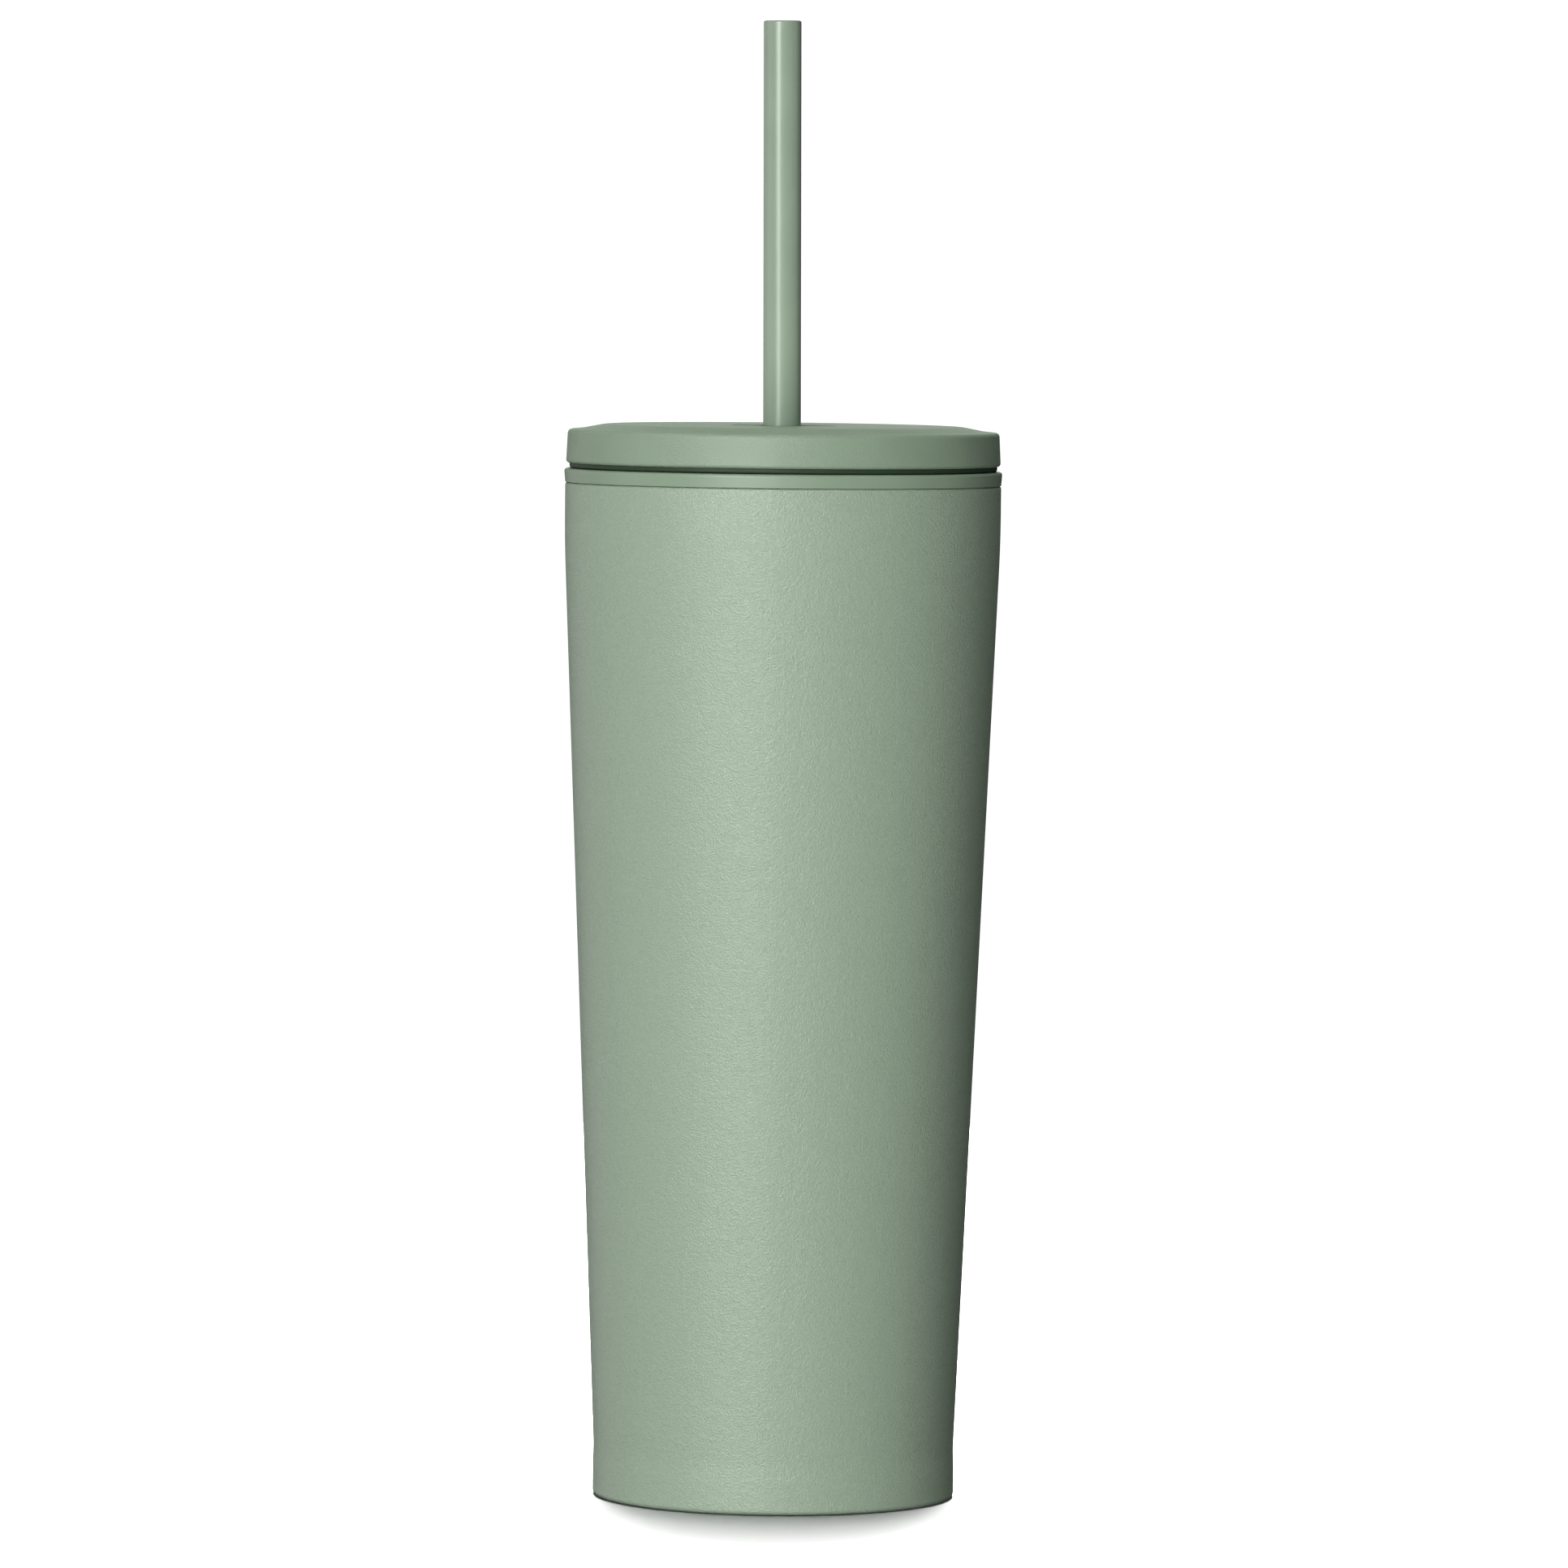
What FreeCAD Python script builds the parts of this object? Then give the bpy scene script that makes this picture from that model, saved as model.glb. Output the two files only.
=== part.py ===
import FreeCAD, Part
import math
import os
import types

import Sketcher

# Insulated straw tumbler: a double-walled vacuum cup, a press-in lid with a silicone seal, and a
# straw that leans very slightly in the lid's grommet.  Millimetres, +Z up, the cup's axis on Z,
# and the origin at the centre of the foot pad's underside, where the tumbler stands.

# ---------------------------------------------------------------------------
# Driving dimensions.  Radii are from the axis named, heights are from the table.
# ---------------------------------------------------------------------------
DRIVING = {
    # outer shell
    "body_radius": 44.45,
    "foot_radius": 36.93,
    "foot_height": 7.0,
    "waist_radius": 36.80,
    "waist_height": 9.6,
    "shoulder_height": 195.46,
    "shell_top": 207.06,
    "shell_bottom": 0.15,
    "shell_wall": 0.6,
    "shoulder_rounding": 280.0,
    "waist_rounding": 38.0,
    "foot_rounding": 30.0,
    "foot_edge_rounding": 1.0,
    "top_edge_rounding": 0.5,
    "foot_lip_radius": 33.0,
    # welded neck, shared by both walls
    "neck_radius": 42.22,
    "neck_wall": 0.5,
    "neck_top": 209.0,
    "weld_gap": 0.02,
    # inner liner
    "mouth_radius": 41.70,
    "liner_wall": 0.5,
    "liner_inset": 4.2,
    "liner_floor": 10.5,
    "mouth_foot": 199.0,
    "ogee_foot": 194.0,
    "floor_rounding": 8.0,
    "ogee_rounding": 17.0,
    # copper foil wound on the liner
    "foil_wall": 0.15,
    "foil_gap": 0.05,
    "foil_bottom": 22.0,
    "foil_top": 188.0,
    # vacuum base, its seal and its getter
    "vacuum_base_top": 5.2,
    "vacuum_base_rim": 2.4,
    "dimple_rise": 1.0,
    "dimple_radius": 5.0,
    "dimple_slope": 1.5,
    "port_radius": 0.8,
    "bead_radius": 3.6,
    "bead_depth": 1.0,
    "bead_rounding": 0.6,
    "getter_radius": 5.0,
    "getter_thickness": 1.0,
    "getter_offset": 18.0,
    "clip_length": 17.0,
    "clip_width": 3.0,
    "clip_wall": 0.3,
    # base cover and foot pad
    "cover_radius": 32.95,
    "cover_bottom": 0.62,
    "cover_rim": 3.6,
    "cover_wall": 0.5,
    "cover_rounding": 0.9,
    "pad_outer_radius": 31.0,
    "pad_inner_radius": 20.0,
    "pad_groove_width": 1.0,
    "pad_groove_depth": 0.3,
    "pad_edge_rounding": 0.2,
    # rim collar
    "collar_radius": 44.69,
    "collar_top": 209.94,
    "collar_bottom": 207.12,
    "collar_bore": 41.95,
    "collar_skirt_bore": 42.76,
    "collar_rounding": 0.6,
    "collar_bore_rounding": 0.35,
    "collar_foot_rounding": 0.12,
    # lid cap
    "skirt_radius": 44.31,
    "skirt_bottom": 211.0,
    "skirt_bore": 42.4,
    "skirt_bore_top": 215.9,
    "cap_edge_radius": 43.98,
    "cap_edge_height": 217.86,
    "cap_slope_radius": 41.0,
    "cap_slope_height": 218.14,
    "platform_radius": 36.5,
    "platform_height": 219.0,
    "platform_wall": 2.0,
    "skirt_rounding": 0.7,
    "cap_edge_rounding": 0.9,
    "cap_slope_rounding": 8.0,
    "platform_rounding": 7.0,
    "recess_radius": 10.8,
    "recess_depth": 0.35,
    "cap_hole_radius": 6.3,
    "cap_rib_outer": 39.6,
    "cap_rib_inner": 38.2,
    "cap_rib_bottom": 213.4,
    # lid plug
    "plug_bottom": 200.0,
    "plug_floor": 1.6,
    "plug_ledge_radius": 41.2,
    "plug_ledge_top": 202.9,
    "plug_wall_radius": 40.3,
    "plug_bore": 38.8,
    "plug_shoulder_radius": 42.3,
    "plug_shoulder_bottom": 211.04,
    "plug_shoulder_top": 215.7,
    "plug_rib_seat": 39.7,
    "plug_rib_floor": 213.0,
    "plug_edge_rounding": 1.2,
    "guide_radius": 4.7,
    "guide_outer": 6.2,
    "guide_cup_floor": 213.9,
    "guide_cup_underside": 212.6,
    "guide_cup_bore": 7.4,
    "guide_cup_outer": 8.8,
    "guide_cup_top": 216.9,
    # lid seal
    "flange_radius": 43.6,
    "flange_top": 210.96,
    "flange_bottom": 210.02,
    "flange_rounding": 0.42,
    "sleeve_bore": 40.34,
    "sleeve_radius": 41.1,
    "sleeve_bottom": 203.05,
    "lip_radius": 41.62,
    "lip_half_height": 0.6,
    "lower_lip_height": 204.6,
    "upper_lip_height": 207.6,
    "lip_rounding": 0.15,
    # straw grommet
    "disc_radius": 10.6,
    "disc_top": 218.97,
    "disc_bottom": 218.68,
    "disc_rounding": 0.12,
    "grommet_radius": 6.15,
    "grommet_bead_radius": 6.95,
    "grommet_bead_top": 216.9,
    "grommet_bead_bottom": 216.0,
    "grommet_tip_radius": 5.8,
    "grommet_bottom": 214.3,
    "straw_clearance": 0.05,
    "countersink_radius": 5.0,
    "countersink_depth": 0.7,
    # straw, in its own frame: heights run up from its lower end
    "straw_radius": 3.85,
    "straw_bore": 2.85,
    "straw_length": 288.3,
    "straw_foot": 13.0,
    "straw_entry_offset": -0.36,
    "straw_lean": 0.5,
    "straw_tip_rounding": 0.4,
    "straw_bore_rounding": 0.25,
    "stopper_radius": 5.4,
    "stopper_bottom": 9.5,
    "stopper_height": 3.5,
    "stopper_slope": 0.9,
    "stopper_rounding": 0.5,
}

FULL_TURN = 360.0
NEARLY_ZERO = 1e-9
V_AXIS = -2
H_AXIS = -1
ORIGIN = (-1, 1)

doc = FreeCAD.newDocument("insulated_tumbler")
sheet = doc.addObject("Spreadsheet::Sheet", "Sizes")


class Size:
    """A length together with the sheet formula that it comes from."""

    def __init__(self, value, formula):
        self.value = value
        self.formula = formula

    def _joined(self, other, sign, value):
        return Size(value, f"({self.formula} {sign} {other.formula})")

    def __add__(self, other):
        return self._joined(other, "+", self.value + other.value)

    def __sub__(self, other):
        return self._joined(other, "-", self.value - other.value)

    def __mul__(self, other):
        return self._joined(other, "*", self.value * other.value)

    def __truediv__(self, other):
        return self._joined(other, "/", self.value / other.value)


def fill_sheet():
    """Write the driving dimensions to the sheet and hand them back as Size values."""
    named = {}
    for row, (name, number) in enumerate(DRIVING.items(), start=1):
        sheet.set(f"A{row}", name)
        sheet.set(f"B{row}", str(number))
        sheet.setAlias(f"B{row}", name)
        named[name] = Size(number, f"Sizes.{name}")
    doc.recompute()
    return types.SimpleNamespace(**named)


d = fill_sheet()
AXIS = Size(0.0, "0")


# ---------------------------------------------------------------------------
# Outlines and turned bodies
# ---------------------------------------------------------------------------
def rounded_corner(before, corner, after, rounding):
    """Tangent points, centre and turning sense of an arc that rounds one corner."""
    arriving = (corner - before).normalize()
    leaving = (after - corner).normalize()
    turn = math.atan2(arriving.x * leaving.y - arriving.y * leaving.x, arriving.dot(leaving))
    reach = rounding * math.tan(abs(turn) / 2)
    start = corner - arriving * reach
    end = corner + leaving * reach
    side = 1 if turn > 0 else -1
    centre = start + FreeCAD.Vector(-arriving.y, arriving.x, 0) * (side * rounding)
    return start, end, centre, turn > 0


def pin_point(sketch, geometry, vertex, radius, height):
    """Hold one sketch point at a radius and a height that the sheet drives."""
    if abs(radius.value) < NEARLY_ZERO:
        sketch.addConstraint(Sketcher.Constraint("PointOnObject", geometry, vertex, V_AXIS))
    else:
        index = sketch.addConstraint(
            Sketcher.Constraint("DistanceX", *ORIGIN, geometry, vertex, radius.value)
        )
        sketch.setExpression(f"Constraints[{index}]", radius.formula)
    if abs(height.value) < NEARLY_ZERO:
        sketch.addConstraint(Sketcher.Constraint("PointOnObject", geometry, vertex, H_AXIS))
    else:
        index = sketch.addConstraint(
            Sketcher.Constraint("DistanceY", *ORIGIN, geometry, vertex, height.value)
        )
        sketch.setExpression(f"Constraints[{index}]", height.formula)


def draw_outline(sketch, corners):
    """Draw a closed outline through (radius, height) or (radius, height, rounding) corners."""
    points = [FreeCAD.Vector(corner[0].value, corner[1].value, 0) for corner in corners]
    count = len(corners)
    starts, ends, arcs = list(points), list(points), {}
    for i, corner in enumerate(corners):
        if len(corner) == 3:
            before, after = points[i - 1], points[(i + 1) % count]
            arrive, leave, centre, left = rounded_corner(before, points[i], after, corner[2].value)
            starts[i], ends[i] = arrive, leave
            arcs[i] = (centre, left)

    lines = []
    for i in range(count):
        edge = Part.LineSegment(ends[i], starts[(i + 1) % count])
        lines.append(sketch.addGeometry(edge, False))

    for i, corner in enumerate(corners):
        line_in, line_out = lines[i - 1], lines[i]
        if i not in arcs:
            sketch.addConstraint(Sketcher.Constraint("Coincident", line_in, 2, line_out, 1))
            pin_point(sketch, line_out, 1, corner[0], corner[1])
            continue
        centre, left = arcs[i]
        first, last = (starts[i], ends[i]) if left else (ends[i], starts[i])
        angles = [math.atan2(end.y - centre.y, end.x - centre.x) for end in (first, last)]
        circle = Part.Circle(centre, FreeCAD.Vector(0, 0, 1), corner[2].value)
        arc = sketch.addGeometry(Part.ArcOfCircle(circle, *angles), False)
        arc_in, arc_out = (1, 2) if left else (2, 1)
        sketch.addConstraint(Sketcher.Constraint("Tangent", line_in, 2, arc, arc_in))
        sketch.addConstraint(Sketcher.Constraint("Tangent", arc, arc_out, line_out, 1))
        index = sketch.addConstraint(Sketcher.Constraint("Radius", arc, corner[2].value))
        sketch.setExpression(f"Constraints[{index}]", corner[2].formula)
        apex = sketch.addGeometry(Part.Point(points[i]), True)
        sketch.addConstraint(Sketcher.Constraint("PointOnObject", apex, 1, line_in))
        sketch.addConstraint(Sketcher.Constraint("PointOnObject", apex, 1, line_out))
        pin_point(sketch, apex, 1, corner[0], corner[1])


def turned_body(label, corners):
    """A PartDesign body turned about its own Z axis from a closed outline."""
    body = doc.addObject("PartDesign::Body", label)
    body.Label = label
    sketch = body.newObject("Sketcher::SketchObject", f"{label}_outline")
    plane = next(item for item in body.Origin.OriginFeatures if item.Role == "XZ_Plane")
    sketch.AttachmentSupport = [(plane, "")]
    sketch.MapMode = "FlatFace"
    draw_outline(sketch, corners)
    turn = body.newObject("PartDesign::Revolution", f"{label}_turn")
    turn.Profile = sketch
    turn.ReferenceAxis = (sketch, ["V_Axis"])
    turn.Angle = FULL_TURN
    sketch.Visibility = False
    body.Tip = turn
    return body


def bound(thing, **formulas):
    """Bind an object's properties to sizes, such as Radius=d.getter_radius."""
    for name, size in formulas.items():
        thing.setExpression(name, size.formula)
    return thing


def cone_radius(height):
    """The outer shell's radius at a height on its long taper."""
    slope = (d.body_radius - d.waist_radius) / (d.shoulder_height - d.waist_height)
    return d.waist_radius + slope * (height - d.waist_height)


# ---------------------------------------------------------------------------
# The cup
# ---------------------------------------------------------------------------
def make_outer_shell():
    """Drawn steel wall, flared foot to turned-in shoulder, with a thin neck for the liner."""
    inside = d.body_radius - d.shell_wall
    neck_outer = d.neck_radius + d.neck_wall
    return turned_body("outer_shell", [
        (d.foot_lip_radius, d.shell_bottom),
        (d.foot_radius, d.shell_bottom, d.foot_edge_rounding),
        (d.foot_radius, d.foot_height, d.foot_rounding),
        (d.waist_radius, d.waist_height, d.waist_rounding),
        (d.body_radius, d.shoulder_height, d.shoulder_rounding),
        (d.body_radius, d.shell_top, d.top_edge_rounding),
        (neck_outer, d.shell_top),
        (neck_outer, d.neck_top),
        (d.neck_radius, d.neck_top),
        (d.neck_radius, d.shell_top - d.shell_wall),
        (inside, d.shell_top - d.shell_wall),
        (inside, d.shoulder_height, d.shoulder_rounding),
        (d.waist_radius - d.shell_wall, d.waist_height, d.waist_rounding),
        (d.foot_radius - d.shell_wall, d.foot_height, d.foot_rounding),
        (
            d.foot_radius - d.shell_wall,
            d.shell_bottom + d.shell_wall,
            d.foot_edge_rounding - d.shell_wall,
        ),
        (d.foot_lip_radius, d.shell_bottom + d.shell_wall),
    ])


def make_inner_liner():
    """Drinking vessel: a straight mouth for the lid, an ogee, a long taper and a round floor."""
    wall = d.liner_wall
    lower = cone_radius(d.liner_floor) - d.liner_inset
    upper = cone_radius(d.ogee_foot) - d.liner_inset
    return turned_body("inner_liner", [
        (AXIS, d.liner_floor - wall),
        (lower + wall, d.liner_floor - wall, d.floor_rounding + wall),
        (upper + wall, d.ogee_foot, d.ogee_rounding),
        (d.mouth_radius + wall, d.mouth_foot, d.ogee_rounding),
        (d.mouth_radius + wall, d.neck_top),
        (d.mouth_radius, d.neck_top),
        (d.mouth_radius, d.mouth_foot, d.ogee_rounding),
        (upper, d.ogee_foot, d.ogee_rounding),
        (lower, d.liner_floor, d.floor_rounding),
        (AXIS, d.liner_floor),
    ])


def make_copper_foil():
    """Heat-reflecting foil wound round the liner, inside the vacuum."""
    gap = d.liner_inset - d.liner_wall - d.foil_gap
    low = cone_radius(d.foil_bottom) - gap
    high = cone_radius(d.foil_top) - gap
    return turned_body("copper_foil", [
        (low, d.foil_bottom),
        (low + d.foil_wall, d.foil_bottom),
        (high + d.foil_wall, d.foil_top),
        (high, d.foil_top),
    ])


def make_vacuum_base():
    """Plate welded into the foot to close the vacuum, with a dimple and a pump-out port."""
    under = d.vacuum_base_top - d.shell_wall
    rim = d.foot_radius - d.shell_wall - d.weld_gap
    slope_end = d.dimple_radius + d.dimple_slope
    return turned_body("vacuum_base", [
        (d.port_radius, under + d.dimple_rise),
        (d.dimple_radius, under + d.dimple_rise),
        (slope_end, under),
        (rim - d.shell_wall, under),
        (rim - d.shell_wall, d.vacuum_base_rim),
        (rim, d.vacuum_base_rim),
        (rim, d.vacuum_base_top, d.shell_wall),
        (slope_end, d.vacuum_base_top),
        (d.dimple_radius, d.vacuum_base_top + d.dimple_rise),
        (d.port_radius, d.vacuum_base_top + d.dimple_rise),
    ])


def make_seal_bead():
    """Glass solder that fills the pump-out port and spreads in the dimple below it."""
    ceiling = d.vacuum_base_top - d.shell_wall + d.dimple_rise - d.weld_gap
    stem = d.port_radius - d.weld_gap
    return turned_body("seal_bead", [
        (AXIS, ceiling - d.bead_depth),
        (d.bead_radius, ceiling - d.bead_depth, d.bead_rounding),
        (d.bead_radius, ceiling),
        (stem, ceiling),
        (stem, ceiling + d.shell_wall),
        (AXIS, ceiling + d.shell_wall),
    ])


def make_getter():
    """Sintered pill that soaks up stray gas in the vacuum."""
    pill = doc.addObject("Part::Cylinder", "getter")
    pill.Label = "getter"
    bound(pill, Radius=d.getter_radius, Height=d.getter_thickness)
    seat = d.vacuum_base_top + d.weld_gap
    pill.Placement = FreeCAD.Placement(
        FreeCAD.Vector(d.getter_offset.value, 0, seat.value), FreeCAD.Rotation()
    )
    return pill


def make_getter_clip():
    """Spot-welded steel strap, bent down at both ends, that holds the getter to the base."""
    inner_length = d.clip_length - d.clip_wall - d.clip_wall
    top = d.getter_thickness + d.weld_gap
    seat = d.vacuum_base_top + d.weld_gap
    strap = doc.addObject("Part::Box", "clip_strap")
    bound(strap, Length=d.clip_width, Width=d.clip_length, Height=top + d.clip_wall)
    hollow = doc.addObject("Part::Box", "clip_hollow")
    bound(hollow, Length=d.clip_width, Width=inner_length, Height=top)
    left = d.getter_offset.value - d.clip_width.value / 2
    strap.Placement.Base = FreeCAD.Vector(left, -d.clip_length.value / 2, seat.value)
    hollow.Placement.Base = FreeCAD.Vector(left, -inner_length.value / 2, seat.value)
    clip = doc.addObject("Part::Cut", "getter_clip")
    clip.Label = "getter_clip"
    clip.Base = strap
    clip.Tool = hollow
    return clip


def make_base_cover():
    """Dished steel disc pressed into the foot, hiding the vacuum base."""
    inner = d.cover_radius - d.cover_wall
    top = d.cover_bottom + d.cover_wall
    return turned_body("base_cover", [
        (AXIS, d.cover_bottom),
        (d.cover_radius, d.cover_bottom, d.cover_rounding),
        (d.cover_radius, d.cover_rim),
        (inner, d.cover_rim),
        (inner, top, d.cover_rounding - d.cover_wall),
        (AXIS, top),
    ])


def make_base_pad():
    """Silicone ring under the base cover, with two round grooves; the tumbler stands on it."""
    top = d.cover_bottom - d.weld_gap
    bands = Size(3.0, "3")
    band = (d.pad_outer_radius - d.pad_inner_radius) / bands
    groove_starts = [d.pad_inner_radius + band, d.pad_inner_radius + band + band]
    table = AXIS
    corners = [(d.pad_inner_radius, top), (d.pad_inner_radius, table, d.pad_edge_rounding)]
    for start in groove_starts:
        corners += [
            (start, table, d.pad_edge_rounding),
            (start, d.pad_groove_depth),
            (start + d.pad_groove_width, d.pad_groove_depth),
            (start + d.pad_groove_width, table, d.pad_edge_rounding),
        ]
    corners += [(d.pad_outer_radius, table, d.pad_edge_rounding), (d.pad_outer_radius, top)]
    return turned_body("base_pad", corners)


def make_rim_collar():
    """Moulded drinking rim pressed over the welded neck and resting on the shell's shoulder."""
    underside = d.neck_top + d.weld_gap
    return turned_body("rim_collar", [
        (d.collar_skirt_bore, d.collar_bottom),
        (d.body_radius, d.collar_bottom, d.collar_foot_rounding),
        (d.collar_radius, d.collar_top, d.collar_rounding),
        (d.collar_bore, d.collar_top, d.collar_bore_rounding),
        (d.collar_bore, underside),
        (d.collar_skirt_bore, underside),
    ])


# ---------------------------------------------------------------------------
# The lid
# ---------------------------------------------------------------------------
def make_lid_cap():
    """Moulded top: flat platform, falling shoulder, drafted skirt and a recessed straw hole."""
    under = d.platform_height - d.platform_wall
    return turned_body("lid_cap", [
        (d.skirt_bore, d.skirt_bottom),
        (d.skirt_radius, d.skirt_bottom, d.skirt_rounding),
        (d.cap_edge_radius, d.cap_edge_height, d.cap_edge_rounding),
        (d.cap_slope_radius, d.cap_slope_height, d.cap_slope_rounding),
        (d.platform_radius, d.platform_height, d.platform_rounding),
        (d.recess_radius, d.platform_height),
        (d.recess_radius, d.platform_height - d.recess_depth),
        (d.cap_hole_radius, d.platform_height - d.recess_depth),
        (d.cap_hole_radius, under),
        (d.cap_rib_inner, under),
        (d.cap_rib_inner, d.cap_rib_bottom),
        (d.cap_rib_outer, d.cap_rib_bottom),
        (d.cap_rib_outer, d.skirt_bore_top),
        (d.skirt_bore, d.skirt_bore_top),
    ])


def make_lid_plug():
    """Closed pan welded up into the cap: it fills the mouth and guides the straw."""
    floor = d.plug_bottom + d.plug_floor
    return turned_body("lid_plug", [
        (d.guide_radius, d.plug_bottom),
        (d.plug_ledge_radius, d.plug_bottom, d.plug_edge_rounding),
        (d.plug_ledge_radius, d.plug_ledge_top),
        (d.plug_wall_radius, d.plug_ledge_top),
        (d.plug_wall_radius, d.plug_shoulder_bottom),
        (d.plug_shoulder_radius, d.plug_shoulder_bottom),
        (d.plug_shoulder_radius, d.plug_shoulder_top),
        (d.plug_rib_seat, d.plug_shoulder_top),
        (d.plug_rib_seat, d.plug_rib_floor),
        (d.plug_bore, d.plug_rib_floor),
        (d.plug_bore, floor, d.plug_edge_rounding),
        (d.guide_outer, floor, d.plug_edge_rounding),
        (d.guide_outer, d.guide_cup_underside),
        (d.guide_cup_outer, d.guide_cup_underside),
        (d.guide_cup_outer, d.guide_cup_top),
        (d.guide_cup_bore, d.guide_cup_top),
        (d.guide_cup_bore, d.guide_cup_floor),
        (d.guide_radius, d.guide_cup_floor),
    ])


def make_lid_seal():
    """Silicone seal: a flange between lid and rim, and a sleeve with two lips in the mouth."""
    corners = [(d.sleeve_bore, d.sleeve_bottom), (d.sleeve_radius, d.sleeve_bottom)]
    for height in (d.lower_lip_height, d.upper_lip_height):
        corners += [
            (d.sleeve_radius, height - d.lip_half_height),
            (d.lip_radius, height, d.lip_rounding),
            (d.sleeve_radius, height + d.lip_half_height),
        ]
    corners += [
        (d.sleeve_radius, d.flange_bottom),
        (d.flange_radius, d.flange_bottom, d.flange_rounding),
        (d.flange_radius, d.flange_top),
        (d.sleeve_bore, d.flange_top),
    ]
    return turned_body("lid_seal", corners)


def straw_axis_point(height):
    """Where the leaning straw's axis crosses a height above the table."""
    drift = (d.platform_height.value - height) * math.tan(math.radians(d.straw_lean.value))
    return FreeCAD.Vector(d.straw_entry_offset.value + drift, 0, height)


def straw_lean():
    """The straw leans towards -X, about Y."""
    return FreeCAD.Rotation(FreeCAD.Vector(0, 1, 0), -d.straw_lean.value)


def make_straw_grommet():
    """Silicone grommet snapped into the cap, its bore cut along the straw's leaning axis."""
    blank = turned_body("grommet_blank", [
        (AXIS, d.grommet_bottom),
        (d.grommet_tip_radius, d.grommet_bottom),
        (d.grommet_bead_radius, d.grommet_bead_bottom),
        (d.grommet_bead_radius, d.grommet_bead_top),
        (d.grommet_radius, d.grommet_bead_top),
        (d.grommet_radius, d.disc_bottom),
        (d.disc_radius, d.disc_bottom),
        (d.disc_radius, d.disc_top, d.disc_rounding),
        (AXIS, d.disc_top),
    ])
    bore_radius = d.straw_radius + d.straw_clearance
    overshoot = d.platform_wall
    bore = doc.addObject("Part::Cylinder", "grommet_bore")
    bore_height = d.disc_top - d.grommet_bottom + overshoot + overshoot
    bound(bore, Radius=bore_radius, Height=bore_height)
    low = straw_axis_point(d.grommet_bottom.value - overshoot.value)
    bore.Placement = FreeCAD.Placement(low, straw_lean())

    # the countersink carries on as far above the disc as it goes below, so that it cuts cleanly
    funnel = doc.addObject("Part::Cone", "grommet_countersink")
    flare = d.countersink_radius - bore_radius
    wide = d.countersink_radius + flare
    funnel_height = d.countersink_depth + d.countersink_depth
    bound(funnel, Radius1=bore_radius, Radius2=wide, Height=funnel_height)
    rim = straw_axis_point(d.disc_top.value - d.countersink_depth.value)
    funnel.Placement = FreeCAD.Placement(rim, straw_lean())

    bored = doc.addObject("Part::Cut", "bored_grommet")
    bored.Base = blank
    bored.Tool = bore
    grommet = doc.addObject("Part::Cut", "straw_grommet")
    grommet.Label = "straw_grommet"
    grommet.Base = bored
    grommet.Tool = funnel
    return grommet


# ---------------------------------------------------------------------------
# The straw
# ---------------------------------------------------------------------------
def make_straw():
    """Rigid drinking straw with rounded ends and a stopper bead that can't pass the lid."""
    tip = d.straw_length
    stopper_top = d.stopper_bottom + d.stopper_height
    straw = turned_body("straw", [
        (d.straw_bore, AXIS, d.straw_bore_rounding),
        (d.straw_radius, AXIS, d.straw_tip_rounding),
        (d.straw_radius, d.stopper_bottom),
        (d.stopper_radius, d.stopper_bottom + d.stopper_slope, d.stopper_rounding),
        (d.stopper_radius, stopper_top - d.stopper_slope, d.stopper_rounding),
        (d.straw_radius, stopper_top),
        (d.straw_radius, tip, d.straw_tip_rounding),
        (d.straw_bore, tip, d.straw_bore_rounding),
    ])
    straw.Placement = FreeCAD.Placement(straw_axis_point(d.straw_foot.value), straw_lean())
    return straw


# ---------------------------------------------------------------------------
# Build, check and write
# ---------------------------------------------------------------------------
SUB_PARTS = [
    make_outer_shell(),
    make_inner_liner(),
    make_copper_foil(),
    make_vacuum_base(),
    make_seal_bead(),
    make_getter(),
    make_getter_clip(),
    make_base_cover(),
    make_base_pad(),
    make_rim_collar(),
    make_lid_cap(),
    make_lid_plug(),
    make_lid_seal(),
    make_straw_grommet(),
    make_straw(),
]


def check_document():
    """Stop before writing if any object failed or any sub-part isn't a sound solid."""
    doc.recompute()
    for thing in doc.Objects:
        if {"Invalid", "Error"} & set(thing.State):
            raise RuntimeError(f"{thing.Name} didn't recompute: {thing.State}")
    for part in SUB_PARTS:
        shape = part.Shape
        if shape.isNull() or not shape.isValid() or not shape.Solids:
            raise RuntimeError(f"{part.Label} isn't a valid solid")


def write_parts():
    """Write each sub-part to its own STEP file and print its size."""
    os.makedirs("parts", exist_ok=True)
    for part in SUB_PARTS:
        box = part.Shape.BoundBox
        part.Shape.exportStep(f"parts/{part.Label}.step")
        print(
            f"{part.Label}: {len(part.Shape.Solids)} solid, {part.Shape.Volume:.1f} mm3,"
            f" z {box.ZMin:.2f} to {box.ZMax:.2f}, x {box.XMin:.2f} to {box.XMax:.2f}"
        )


check_document()
write_parts()
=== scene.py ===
import math

import bmesh
import bpy
from mathutils import Matrix, Vector


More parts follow.
